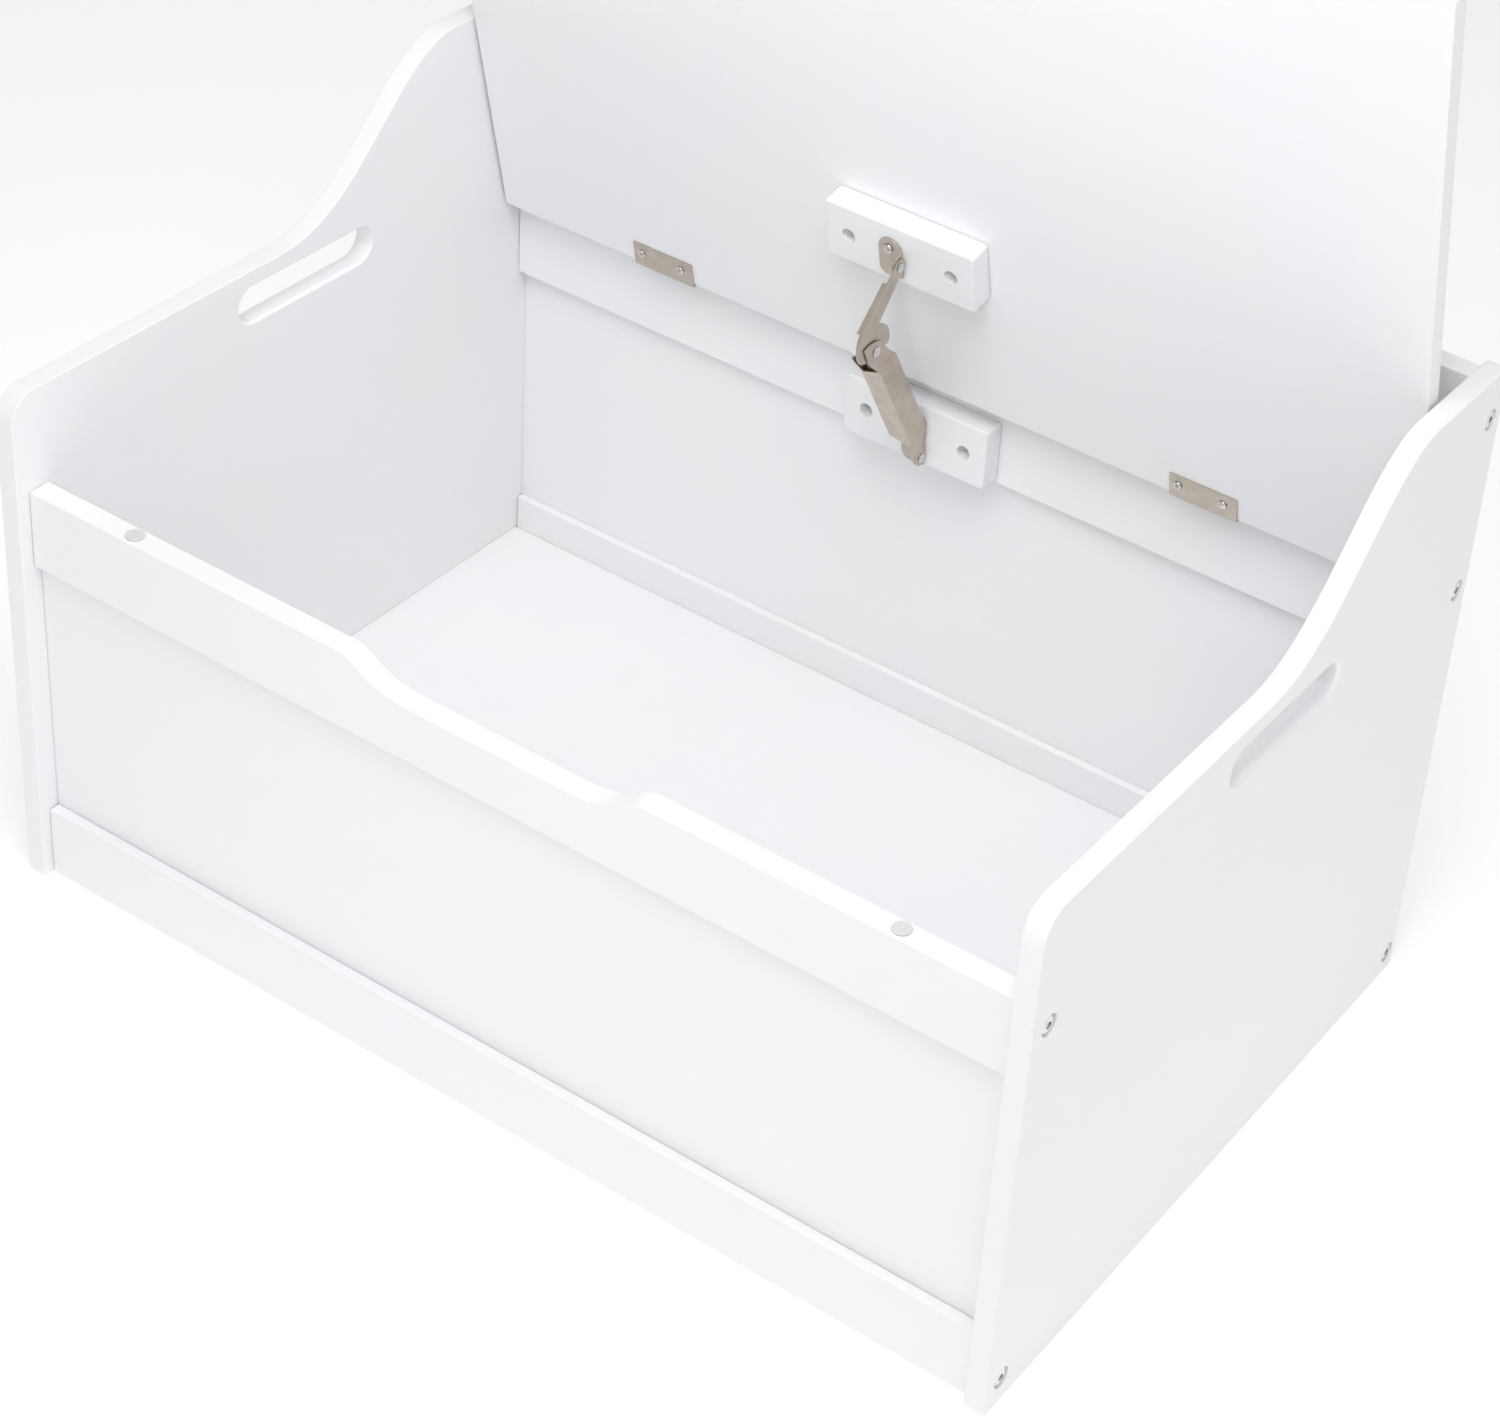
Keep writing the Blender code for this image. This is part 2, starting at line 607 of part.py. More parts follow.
# ---------------------------------------------------------------- block screws, sunk in their bores
SINK = 0.0090
for n, dx in enumerate((-0.0435, 0.0435)):
    spot = (LID_BLOCK_X + dx, LID_BLOCK_Y, BLOCK_FACE_Z + SINK)
    screw("screw_lid_block_%d" % (n + 1), BLOCK_SCREW, (spot[0], spot[1], spot[2] - GAP), (0, 0, -1), True)
    through(spot, (0, 0, 1), SINK + 0.002, 0.0, 0.0056, 20, lid_block_sinks)
    through(spot, (0, 0, 1), 0.001, 0.015, 0.0023, 14, lid_block_bores)
    through(spot, (0, 0, 1), -0.009, 0.0240, 0.0023, 14, lid_bores)
    spot = (BASE_BLOCK_X + dx, BASE_FACE + SINK, BASE_BLOCK_Z)
    screw("screw_base_block_%d" % (n + 1), BLOCK_SCREW, (spot[0], spot[1] - GAP, spot[2]), (0, -1, 0))
    through(spot, (0, 1, 0), SINK + 0.002, 0.0, 0.0056, 20, base_block_sinks)
    through(spot, (0, 1, 0), 0.001, 0.015, 0.0023, 14, base_block_bores)
    through(spot, (0, 1, 0), -0.009, 0.0240, 0.0023, 14, rail_bores)

# ---------------------------------------------------------------- lid stay
STAY_T = 0.0016
TAB_X = -0.0030            # lid bracket's tab
ARM_X = TAB_X + STAY_T + GAP
ARM_T = 0.0020
EAR_T = 0.0012
EAR_LEFT = -0.0150         # outer faces of the housing's two sides
EAR_RIGHT = 0.0026
BASE_TAB_X = EAR_RIGHT - EAR_T - GAP - STAY_T
REACH = (KNEE - BASE).length
PLATE_W = 0.0195


def join(target, bm, tag):
    """Boolean union with another solid kept among the cutters."""
    tool = make(target.name + "_" + tag, bm, None, cutters)
    tool.hide_render = True
    tool.display_type = "WIRE"
    mod = target.modifiers.new(tag, "BOOLEAN")
    mod.operation = "UNION"
    mod.solver = "EXACT"
    mod.object = tool
    return tool


def pivot_hole(target, point, x0, x1):
    hole = rod_bm(bmesh.new(), (x0, point.y, point.z), (x1, point.y, point.z), RIVET_R + 0.0003, 20)
    return cut(target, hole, "pivot_%d" % len(target.modifiers))


def tab_outline(middle, depth):
    """Upright pivot tab: wide foot inside the plate, round end about the pivot."""
    return ([(middle - 0.0100, -STAY_T / 2), (middle - 0.0065, -depth)]
            + arc(middle, -depth, 0.0065, 180, 360, 10)[1:-1]
            + [(middle + 0.0065, -depth), (middle + 0.0100, -STAY_T / 2)])


# lid bracket: plate under the block, tab hanging at its right edge
PLATE_Z = BLOCK_FACE_Z - GAP
PIV_Y = HY - PIVOT_S
plate_x1 = TAB_X + STAY_T - 0.0004
plate = rounded_rect(plate_x1 - PLATE_W, plate_x1, PIV_Y - 0.0170, PIV_Y + 0.0165,
                     (0.0090, 0.0090, 0.0020, 0.0060), 5)
lid_bracket = make("stay_lid_bracket", prism_bm(plate, "Z", -STAY_T, 0.0), plated("stay_lid_bracket"))
depth = PLATE_Z - (HINGE_Z - PIVOT_DROP)
lid_tools = [join(lid_bracket, prism_bm(tab_outline(PIV_Y, depth), "X", TAB_X, TAB_X + STAY_T), "tab")]
spot = Vector((plate_x1 - 0.0108, PIV_Y - 0.0080, PLATE_Z))
lid_tools.append(cut(lid_bracket, through((spot.x, spot.y, 0.0), (0, 0, 1), 0.003, 0.003, 0.0020), "screw_hole"))
lift = Matrix.Translation((0, 0, PLATE_Z))
for thing in [lid_bracket] + lid_tools:
    thing.data.transform(OPEN @ lift)
pivot_hole(lid_bracket, PIVOT, TAB_X - 0.002, TAB_X + STAY_T + 0.002)
screw("screw_lid_bracket", PLATE_SCREW, (spot.x, spot.y, spot.z - STAY_T - GAP), (0, 0, -1), True)
through(spot, (0, 0, 1), 0.002, 0.0125, 0.0020, 14, lid_block_bores)

# base bracket: plate on the base block's face, tab toward the front at its right edge
PLATE_Y = BASE_FACE - GAP
plate_x1 = BASE_TAB_X + STAY_T - 0.0004
plate = rounded_rect(plate_x1 - PLATE_W, plate_x1, -(BASE_PIVOT_Z + 0.0320), -(BASE_PIVOT_Z - 0.0100),
                     (0.0085, 0.0085, 0.0020, 0.0085), 5)
base_bracket = make("stay_base_bracket", prism_bm(plate, "Z", -STAY_T, 0.0), plated("stay_base_bracket"))
depth = PLATE_Y - BASE.y
base_tools = [join(base_bracket, prism_bm(tab_outline(-BASE_PIVOT_Z, depth), "X", BASE_TAB_X,
                                          BASE_TAB_X + STAY_T), "tab")]
spot = Vector((plate_x1 - 0.0100, PLATE_Y, BASE_PIVOT_Z + 0.0225))
base_tools.append(cut(base_bracket, through((spot.x, -spot.z, 0.0), (0, 0, 1), 0.003, 0.003, 0.0020), "screw_hole"))
upright = Matrix.Translation((0, PLATE_Y, 0)) @ Matrix.Rotation(math.radians(-90), 4, "X")
for thing in [base_bracket] + base_tools:
    thing.data.transform(upright)
pivot_hole(base_bracket, BASE, BASE_TAB_X - 0.002, BASE_TAB_X + STAY_T + 0.002)
screw("screw_base_bracket", PLATE_SCREW, (spot.x, spot.y - STAY_T - GAP, spot.z), (0, -1, 0))
through(spot, (0, 1, 0), 0.002, 0.0125, 0.0020, 14, base_block_bores)


def flat_frame(origin, toward):
    """Frame for plates in the Y-Z plane: first axis toward a point, second square to it, third +X."""
    u = (toward - origin).normalized()
    v = Vector((0, -u.z, u.y))
    return Matrix(((0, 0, 1, origin.x), (u.y, v.y, 0, origin.y), (u.z, v.z, 0, origin.z), (0, 0, 0, 1)))


# arm: strip cranked toward the front, widening into a lobed cam round the knee
ARM = (KNEE - PIVOT).length
bm = prism_bm([(-0.0030, 0.0052), (0.0060, 0.0036), (ARM - 0.0205, -0.0058), (ARM - 0.0205, -0.0030),
               (ARM - 0.0200, 0.0040), (ARM - 0.0190, 0.0072), (ARM - 0.0172, 0.0098),
               (ARM - 0.0150, 0.0122), (ARM - 0.0125, 0.0140), (ARM - 0.0100, 0.0153),
               (ARM - 0.0078, 0.0158), (ARM - 0.0058, 0.0152), (ARM - 0.0046, 0.0138),
               (ARM - 0.0030, 0.0100), (ARM + 0.0040, 0.0084), (ARM + 0.0082, 0.0040),
               (ARM + 0.0090, -0.0020), (ARM + 0.0105, -0.0118), (ARM + 0.0094, -0.0152),
               (ARM + 0.0068, -0.0184), (ARM + 0.0018, -0.0220), (ARM - 0.0025, -0.0240),
               (ARM - 0.0065, -0.0248), (ARM - 0.0105, -0.0246), (ARM - 0.0140, -0.0236),
               (0.0030, -0.0058), (-0.0030, -0.0052), (-0.0060, -0.0015), (-0.0060, 0.0015)],
              "Z", ARM_X, ARM_X + ARM_T)
arm = make("stay_arm", bm, plated("stay_arm"))
arm_frame = flat_frame(Vector((0, PIVOT.y, PIVOT.z)), Vector((0, KNEE.y, KNEE.z)))
rib = prism_bm([(0.0130, -0.0082), (0.0132, -0.0098), (ARM - 0.0118, -0.0240), (ARM - 0.0112, -0.0222)],
               "Z", ARM_X - 0.0030, ARM_X + 0.0010)
rib_tool = join(arm, rib, "flange")
for thing in (arm, rib_tool):
    thing.data.transform(arm_frame)
pivot_hole(arm, PIVOT, ARM_X - 0.002, ARM_X + ARM_T + 0.002)
pivot_hole(arm, KNEE, ARM_X - 0.002, ARM_X + ARM_T + 0.002)
set_origin(arm, (0.0, PIVOT.y, PIVOT.z))

# housing: one folded sheet, two sides and a front web, drawn from the base pivot to the knee
BOX_LOW, BOX_HIGH = 0.0240, REACH - 0.0200
WEB_V, OPEN_V = 0.0052, -0.0150
LEFT_CUT = 0.0100
EAR_STEP = 0.0012          # the box part of the right side stands proud of its two ears


def left_side():
    top = BOX_HIGH - LEFT_CUT
    return [(BOX_LOW + 0.004, WEB_V), (BOX_LOW + 0.004, OPEN_V), (BOX_HIGH - 0.014, OPEN_V),
            (BOX_HIGH - 0.005, OPEN_V + 0.004), (BOX_HIGH, -0.0040), (REACH - 0.0120, 0.0030),
            (REACH - 0.0060, 0.0078), (REACH - 0.0065, 0.0094), (REACH - 0.0120, 0.0088), (top, WEB_V)]


def box_side():
    return [(BOX_LOW, WEB_V), (BOX_LOW + 0.003, OPEN_V), (BOX_HIGH - 0.002, OPEN_V), (BOX_HIGH, WEB_V)]


def right_side():
    return ([(BOX_LOW, WEB_V), (0.0100, WEB_V + 0.0012)] + arc(0, 0, 0.0064, 80, 270, 9)
            + [(0.0120, -0.0064), (BOX_LOW, OPEN_V + 0.001), (BOX_LOW + 0.003, OPEN_V),
               (BOX_HIGH - 0.002, OPEN_V), (REACH - 0.0120, -0.0110), (REACH + 0.0025, -0.0078),
               (REACH + 0.0075, -0.0045), (REACH + 0.0118, 0.0020), (REACH + 0.0135, 0.0095),
               (REACH - 0.0020, 0.0106), (BOX_HIGH + 0.0095, 0.0084), (BOX_HIGH, WEB_V)])


blank = make("housing_blank", prism_bm(right_side(), "Z", EAR_RIGHT - EAR_T, EAR_RIGHT), None)
proud = EAR_RIGHT + EAR_STEP
web = [(BOX_LOW, proud), (BOX_HIGH, proud), (BOX_HIGH - LEFT_CUT, EAR_LEFT), (BOX_LOW + 0.004, EAR_LEFT)]
parts = [
    join(blank, prism_bm(box_side(), "Z", EAR_RIGHT - EAR_T, proud), "box_side"),
    join(blank, prism_bm(web, "Y", WEB_V - EAR_T, WEB_V), "web"),
    join(blank, prism_bm(left_side(), "Z", EAR_LEFT, EAR_LEFT + EAR_T), "left"),
    cut(blank, rod_bm(bmesh.new(), (0, 0, -0.01), (0, 0, 0.01), RIVET_R + GAP, 20), "base_hole"),
    cut(blank, rod_bm(bmesh.new(), (REACH, 0, -0.02), (REACH, 0, 0.01), RIVET_R + GAP, 20), "knee_hole"),
]
folded = baked(blank)
for part in parts:
    bpy.data.objects.remove(part, do_unlink=True)
house_frame = flat_frame(Vector((0, BASE.y, BASE.z)), Vector((0, KNEE.y, KNEE.z)))
folded.transform(house_frame)
folded.materials.clear()
folded.materials.append(plated("stay_housing"))
housing = bpy.data.objects.new("stay_housing", folded)
toy_box.objects.link(housing)
set_origin(housing, (0.0, BASE.y, BASE.z))

# spring: coil swept inside the housing, pushing a follower up to the cam
SPRING_X = (EAR_LEFT + EAR_RIGHT) / 2
SPRING_V = -0.0045
COILS, COIL_R, WIRE_R = 9, 0.0046, 0.0007
SPRING_U0, SPRING_U1 = BOX_LOW + 0.006, REACH - 0.0385
curve = bpy.data.curves.new("spring_line", "CURVE")
curve.dimensions = "3D"
curve.bevel_depth = WIRE_R
curve.bevel_resolution = 1
curve.use_fill_caps = True
line = curve.splines.new("POLY")
steps = COILS * 10
line.points.add(steps)
for i in range(steps + 1):
    t = i / steps
    angle = 2 * math.pi * COILS * t
    u = SPRING_U0 + (SPRING_U1 - SPRING_U0) * t
    co = house_frame @ Vector((u, SPRING_V + COIL_R * math.cos(angle), SPRING_X + COIL_R * math.sin(angle)))
    line.points[i].co = (co.x, co.y, co.z, 1.0)
coil = bpy.data.objects.new("spring_line", curve)
toy_box.objects.link(coil)
bm = bmesh.new()
bm.from_mesh(baked(coil))
bmesh.ops.remove_doubles(bm, verts=bm.verts, dist=0.00001)
spring = make("stay_spring", bm, None)
spring.data.materials.clear()
spring.data.materials.append(bright("stay_spring"))

top = REACH - 0.0235
follower = [(SPRING_U1 + 0.0012, SPRING_V - 0.0062), (top - 0.0040, SPRING_V - 0.0062),
            (top - 0.0010, SPRING_V - 0.0038), (top, SPRING_V), (top - 0.0010, SPRING_V + 0.0038),
            (top - 0.0040, SPRING_V + 0.0062), (SPRING_U1 + 0.0012, SPRING_V + 0.0062)]
bm = prism_bm(follower, "Z", EAR_LEFT + EAR_T + 0.0012, EAR_RIGHT - EAR_T - 0.0012)
plunger = make("stay_plunger", bm, bright("stay_plunger"))
plunger.data.transform(house_frame)
ease(plunger, 0.0004, 1, 60)


def rivet(name, point, x0, x1, head=0.0038, tall=0.0011):
    """Domed rivet across plates that lie between two X positions."""
    part = turned(name, [(0.0, x1 + tall), (head * 0.55, x1 + tall), (head * 0.86, x1 + tall * 0.6), (head, x1),
                         (RIVET_R, x1), (RIVET_R, x0), (head, x0), (head * 0.86, x0 - tall * 0.6),
                         (head * 0.55, x0 - tall), (0.0, x0 - tall)], 16)
    part.data.materials.append(bright(name))
    part.location = (0.0, point.y, point.z)
    part.rotation_euler = (0.0, math.radians(90), 0.0)


rivet("lid_rivet", PIVOT, TAB_X - GAP, ARM_X + ARM_T + GAP)
rivet("base_rivet", BASE, BASE_TAB_X - GAP, EAR_RIGHT + GAP)
rivet("knee_rivet", KNEE, ARM_X - GAP, EAR_RIGHT + GAP, 0.0042, 0.0012)

# ---------------------------------------------------------------- screw bores
for target, bores in ((lid, (lid_bores,)), (lid_block, (lid_block_sinks, lid_block_bores))):
    group = [target] + [cut(target, bore, "bores_%d" % n) for n, bore in enumerate(bores)]
    for thing in group:
        thing.data.transform(OPEN)
set_origin(lid, HINGE)
cut(base_block, base_block_sinks, "sinks")
cut(base_block, base_block_bores, "bores")
cut(back_rail, rail_bores, "screw_bores")
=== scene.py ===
"""Looks of the white wooden toy box: painted boards, satin nickel lid stay, hinges and screws."""

import json
import math

import bmesh
import bpy
from mathutils import Matrix, Vector

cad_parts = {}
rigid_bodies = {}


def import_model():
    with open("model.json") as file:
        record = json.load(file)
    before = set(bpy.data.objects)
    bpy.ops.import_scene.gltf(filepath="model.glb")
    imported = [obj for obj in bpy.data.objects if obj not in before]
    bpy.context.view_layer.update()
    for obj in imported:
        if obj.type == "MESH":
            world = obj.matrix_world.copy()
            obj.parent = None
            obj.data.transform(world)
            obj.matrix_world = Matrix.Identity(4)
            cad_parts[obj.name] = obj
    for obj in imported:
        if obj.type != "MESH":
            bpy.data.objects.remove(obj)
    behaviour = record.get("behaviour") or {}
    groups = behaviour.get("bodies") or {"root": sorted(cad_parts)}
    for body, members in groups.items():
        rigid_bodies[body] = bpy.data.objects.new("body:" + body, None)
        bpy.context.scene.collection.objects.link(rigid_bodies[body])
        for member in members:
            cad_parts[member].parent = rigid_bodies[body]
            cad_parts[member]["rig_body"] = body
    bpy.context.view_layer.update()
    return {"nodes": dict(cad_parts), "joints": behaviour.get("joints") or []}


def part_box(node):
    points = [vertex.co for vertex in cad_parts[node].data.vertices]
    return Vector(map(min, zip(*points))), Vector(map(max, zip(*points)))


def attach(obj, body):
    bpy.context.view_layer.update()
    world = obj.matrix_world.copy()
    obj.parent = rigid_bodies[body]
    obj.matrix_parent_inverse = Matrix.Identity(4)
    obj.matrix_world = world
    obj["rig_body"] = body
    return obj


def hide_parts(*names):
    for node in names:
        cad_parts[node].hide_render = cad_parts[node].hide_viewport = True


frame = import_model()
nodes = frame["nodes"]
lid_hinge = next(joint for joint in frame["joints"] if joint["name"] == "lid_hinge")

# ---------------------------------------------------------------- sizes, in metres
MERGE = 0.00001
BOARD_EDGE = 0.0007        # paint-softened edge left by saw cuts, grooves and slots
METAL_EDGE = 0.00018
EDGE_STEPS = 2

PAINT_RELIEF = 0.00006     # height of the roller streaks and of the orange peel
PAINT_STIPPLE = 0.00002
METAL_GRAIN = 0.00002
METAL_PITS = 0.00001

HEAD_SIDES = 32
HEAD_RINGS = 10
HEAD_ROUND = 0.62          # below one gives a flat top with a rounded shoulder
SHANK_SIDES = 20
SHANK_SHARE = 0.85         # straight part of a screw's length, the rest is its tip
TIP_SHARE = 0.4            # blunt end of the tip, as a share of the shank's radius
THREAD_START = -0.14       # where the thread starts and how far it runs, as shares of the length
THREAD_RUN = -0.70
THREAD_STEPS = 12          # points in each turn of the thread
RECESS_TALL = 0.010        # height of the tool that cuts the driver recess
CROSS_SLIM = 0.30          # width of a cross recess's arm, as a share of its length

LEAF_SCREW = {"Head Radius": 0.0034, "Head Height": 0.0011, "Shank Radius": 0.0014, "Length": 0.0098,
              "Recess Size": 0.0040, "Recess Depth": 0.0008, "Pitch": 0.0012, "Thread": 0.0003}
BLOCK_SCREW = {"Head Radius": 0.0044, "Head Height": 0.0020, "Shank Radius": 0.0018, "Length": 0.0222,
               "Recess Size": 0.0050, "Recess Depth": 0.0014, "Pitch": 0.0016, "Thread": 0.0003}
BRACKET_SCREW = {"Head Radius": 0.0038, "Head Height": 0.0015, "Shank Radius": 0.0015, "Length": 0.0132,
                 "Recess Size": 0.0044, "Recess Depth": 0.0010, "Pitch": 0.0014, "Thread": 0.0003}
PANEL_BOLT = {"Head Radius": 0.0067, "Head Height": 0.0024, "Shank Radius": 0.0028, "Length": 0.0378,
              "Recess Size": 0.0058, "Recess Depth": 0.0019, "Pitch": 0.0015, "Thread": 0.0002}

COIL_RADIUS = 0.0046
COIL_WIRE = 0.00065        # radius of the spring's wire
COIL_TURNS = 8.0
COIL_STEPS = 40            # points in each turn of the spring
COIL_END = 0.0007          # from either end of the spring's room to the middle of its wire

# ---------------------------------------------------------------- angles, in degrees
FLAT_BEND = 0.6            # facets that bend less than this are one flat face
BOARD_BEND = 32.0          # an arris bends more than this and is softened
ROUND_BEND = 50.0          # the same on faceted round pieces
CREASE_BEND = 34.0         # screws and the spring stay sharp where they bend more than this
LID_TURN = -lid_hinge["range_deg"][1]

# ---------------------------------------------------------------- directions
TO_FRONT = Vector((0, -1, 0))
TO_LEFT = Vector((-1, 0, 0))
TO_RIGHT = Vector((1, 0, 0))
LID_UNDERSIDE = Matrix.Rotation(math.radians(LID_TURN), 3, "X") @ Vector((0, 0, -1))

# ---------------------------------------------------------------- colours
WHITE = (0.895, 0.903, 0.920)
WHITE_WARM = (0.905, 0.906, 0.912)
NICKEL = (0.520, 0.455, 0.380)
NICKEL_PALE = (0.600, 0.540, 0.465)
ZINC = (0.800, 0.790, 0.770)
SPRING_GREY = (0.300, 0.290, 0.280)
PAD = (0.90, 0.91, 0.92)
PAD_DUST = (0.80, 0.81, 0.83)


# ---------------------------------------------------------------- materials
def start_material(name):
    mat = bpy.data.materials.new(name)
    mat.use_nodes = True
    return mat, mat.node_tree, mat.node_tree.nodes["Principled BSDF"]


def drawn_out(along, slow, quick):
    """Stretch for a pattern that changes slowly along one side and quickly across it."""
    return [slow if side == along else quick for side in "XYZ"]


def object_space(tree, stretch=(1.0, 1.0, 1.0)):
    """Object coordinates in metres, stretched to draw a pattern out along one side."""
    place = tree.nodes.new("ShaderNodeTexCoord")
    mapping = tree.nodes.new("ShaderNodeMapping")
    mapping.inputs["Scale"].default_value = stretch
    tree.links.new(place.outputs["Object"], mapping.inputs["Vector"])
    return mapping.outputs["Vector"]


def noise(tree, where, scale, detail=2.0, rough=0.5):
    node = tree.nodes.new("ShaderNodeTexNoise")
    node.inputs["Scale"].default_value = scale
    node.inputs["Detail"].default_value = detail
    node.inputs["Roughness"].default_value = rough
    tree.links.new(where, node.inputs["Vector"])
    return node.outputs["Fac"]


def ranged(tree, value, low, high, out_low, out_high):
    node = tree.nodes.new("ShaderNodeMapRange")
    limits = {"From Min": low, "From Max": high, "To Min": out_low, "To Max": out_high}
    for socket, number in limits.items():
        node.inputs[socket].default_value = number
    tree.links.new(value, node.inputs["Value"])
    return node.outputs["Result"]


def mixed(tree, value, one, two):
    node = tree.nodes.new("ShaderNodeMix")
    node.data_type = "RGBA"
    node.inputs["A"].default_value = (*one, 1.0)
    node.inputs["B"].default_value = (*two, 1.0)
    tree.links.new(value, node.inputs["Factor"])
    return node.outputs["Result"]


def bump(tree, height, depth, strength, below=None):
    node = tree.nodes.new("ShaderNodeBump")
    node.inputs["Distance"].default_value = depth
    node.inputs["Strength"].default_value = strength
    tree.links.new(height, node.inputs["Height"])
    if below is not None:
        tree.links.new(below, node.inputs["Normal"])
    return node.outputs["Normal"]


def white_paint(name, along):
    """Sprayed and rolled satin paint: fine stipple, faint drawn-out roller streaks, uneven gloss."""
    mat, tree, shader = start_material(name)
    links = tree.links
    here = object_space(tree)
    drawn = object_space(tree, drawn_out(along, 1.2, 16))
    broad = noise(tree, here, 5.0, 3.0)
    streaks = noise(tree, drawn, 14.0, 4.0, 0.6)
    stipple = noise(tree, here, 750.0, 2.0)
    pores = noise(tree, here, 160.0, 3.0, 0.65)
    colour = mixed(tree, ranged(tree, broad, 0.35, 0.65, 0.0, 1.0), WHITE, WHITE_WARM)
    links.new(colour, shader.inputs["Base Color"])
    links.new(ranged(tree, streaks, 0.3, 0.7, 0.36, 0.46), shader.inputs["Roughness"])
    rolled = bump(tree, streaks, PAINT_RELIEF, 0.6)
    orange_peel = bump(tree, pores, PAINT_RELIEF, 0.5, rolled)
    links.new(bump(tree, stipple, PAINT_STIPPLE, 0.6, orange_peel), shader.inputs["Normal"])
    shader.inputs["Coat Weight"].default_value = 0.15
    shader.inputs["Coat Roughness"].default_value = 0.30
    return mat


def satin_nickel(name, along):
    """Plated sheet steel: grain drawn along the part, cloudy tarnish and small pits."""
    mat, tree, shader = start_material(name)
    links = tree.links
    here = object_space(tree)
    drawn = object_space(tree, drawn_out(along, 1, 40))
    grain = noise(tree, drawn, 60.0, 4.0, 0.7)
    cloud = noise(tree, here, 90.0, 3.0)
    pits = noise(tree, here, 1800.0, 1.0)
    colour = mixed(tree, ranged(tree, cloud, 0.3, 0.7, 0.0, 1.0), NICKEL, NICKEL_PALE)
    links.new(colour, shader.inputs["Base Color"])
    links.new(ranged(tree, grain, 0.3, 0.7, 0.30, 0.44), shader.inputs["Roughness"])
    shader.inputs["Metallic"].default_value = 1.0
    fine = bump(tree, grain, METAL_GRAIN, 0.6)
    links.new(bump(tree, pits, METAL_PITS, 0.4, fine), shader.inputs["Normal"])
    return mat


def zinc(name, colour=ZINC, rough=0.24):
    """Bright plated steel of screws, bolts and rivets."""
    mat, tree, shader = start_material(name)
    links = tree.links
    here = object_space(tree)
    cloud = noise(tree, here, 260.0, 3.0)
    scratches = noise(tree, object_space(tree, (9, 60, 30)), 120.0, 3.0, 0.7)
    deep = tuple(0.72 * part for part in colour)
    cloudy = mixed(tree, ranged(tree, cloud, 0.35, 0.75, 0.0, 1.0), colour, deep)
    links.new(cloudy, shader.inputs["Base Color"])
    links.new(ranged(tree, scratches, 0.3, 0.7, rough - 0.06, rough + 0.14), shader.inputs["Roughness"])
    shader.inputs["Metallic"].default_value = 1.0
    links.new(bump(tree, scratches, METAL_PITS, 0.5), shader.inputs["Normal"])
    return mat


def silicone(name):
    """Cloudy soft pad with a matt, slightly dusty skin."""
    mat, tree, shader = start_material(name)
    links = tree.links
    dust = noise(tree, object_space(tree), 700.0, 3.0)
    links.new(mixed(tree, dust, PAD, PAD_DUST), shader.inputs["Base Color"])
    links.new(ranged(tree, dust, 0.3, 0.7, 0.30, 0.50), shader.inputs["Roughness"])
    shader.inputs["Transmission Weight"].default_value = 0.25
    shader.inputs["Subsurface Weight"].default_value = 0.3
    shader.inputs["Subsurface Radius"].default_value = (0.002, 0.002, 0.002)
    return mat


# ---------------------------------------------------------------- carried pieces
def body_name(node):
    return nodes[node]["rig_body"]


def middle_of(node):
    low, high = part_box(node)
    return (Vector(low) + Vector(high)) / 2


def carried(node, mat, edge, sharp=BOARD_BEND):
    """The CAD solid's own shape as one smooth mesh, with its sharp arrises softened."""
    mesh = nodes[node].data.copy()
    mesh.name = node + "_look"
    bm = bmesh.new()
    bm.from_mesh(mesh)
    bmesh.ops.remove_doubles(bm, verts=bm.verts, dist=MERGE)
    bmesh.ops.dissolve_limit(bm, angle_limit=math.radians(FLAT_BEND), verts=bm.verts, edges=bm.edges)
    bmesh.ops.recalc_face_normals(bm, faces=bm.faces)
    bm.to_mesh(mesh)
    bm.free()
    piece = bpy.data.objects.new(node + "_look", mesh)
    bpy.context.scene.collection.objects.link(piece)
    mesh.materials.clear()
    mesh.materials.append(mat)
    mesh.shade_smooth()
    mod = piece.modifiers.new("arris", "BEVEL")
    mod.width = edge
    mod.segments = EDGE_STEPS
    mod.limit_method = "ANGLE"
    mod.angle_limit = math.radians(sharp)
    mod.use_clamp_overlap = True
    even = piece.modifiers.new("even_shading", "WEIGHTED_NORMAL")
    even.mode = "FACE_AREA_WITH_ANGLE"
    even.keep_sharp = True
    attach(piece, body_name(node))
    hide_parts(node)


def boards():
    for node in ("side_panel_left", "side_panel_right"):
        carried(node, white_paint(node + "_paint", "Y"), BOARD_EDGE)
    for node in ("front_top_rail", "front_bottom_rail", "back_top_rail", "back_bottom_rail",
                 "front_panel", "back_panel", "floor_panel", "lid", "lid_block", "base_block"):
        carried(node, white_paint(node + "_paint", "X"), BOARD_EDGE)


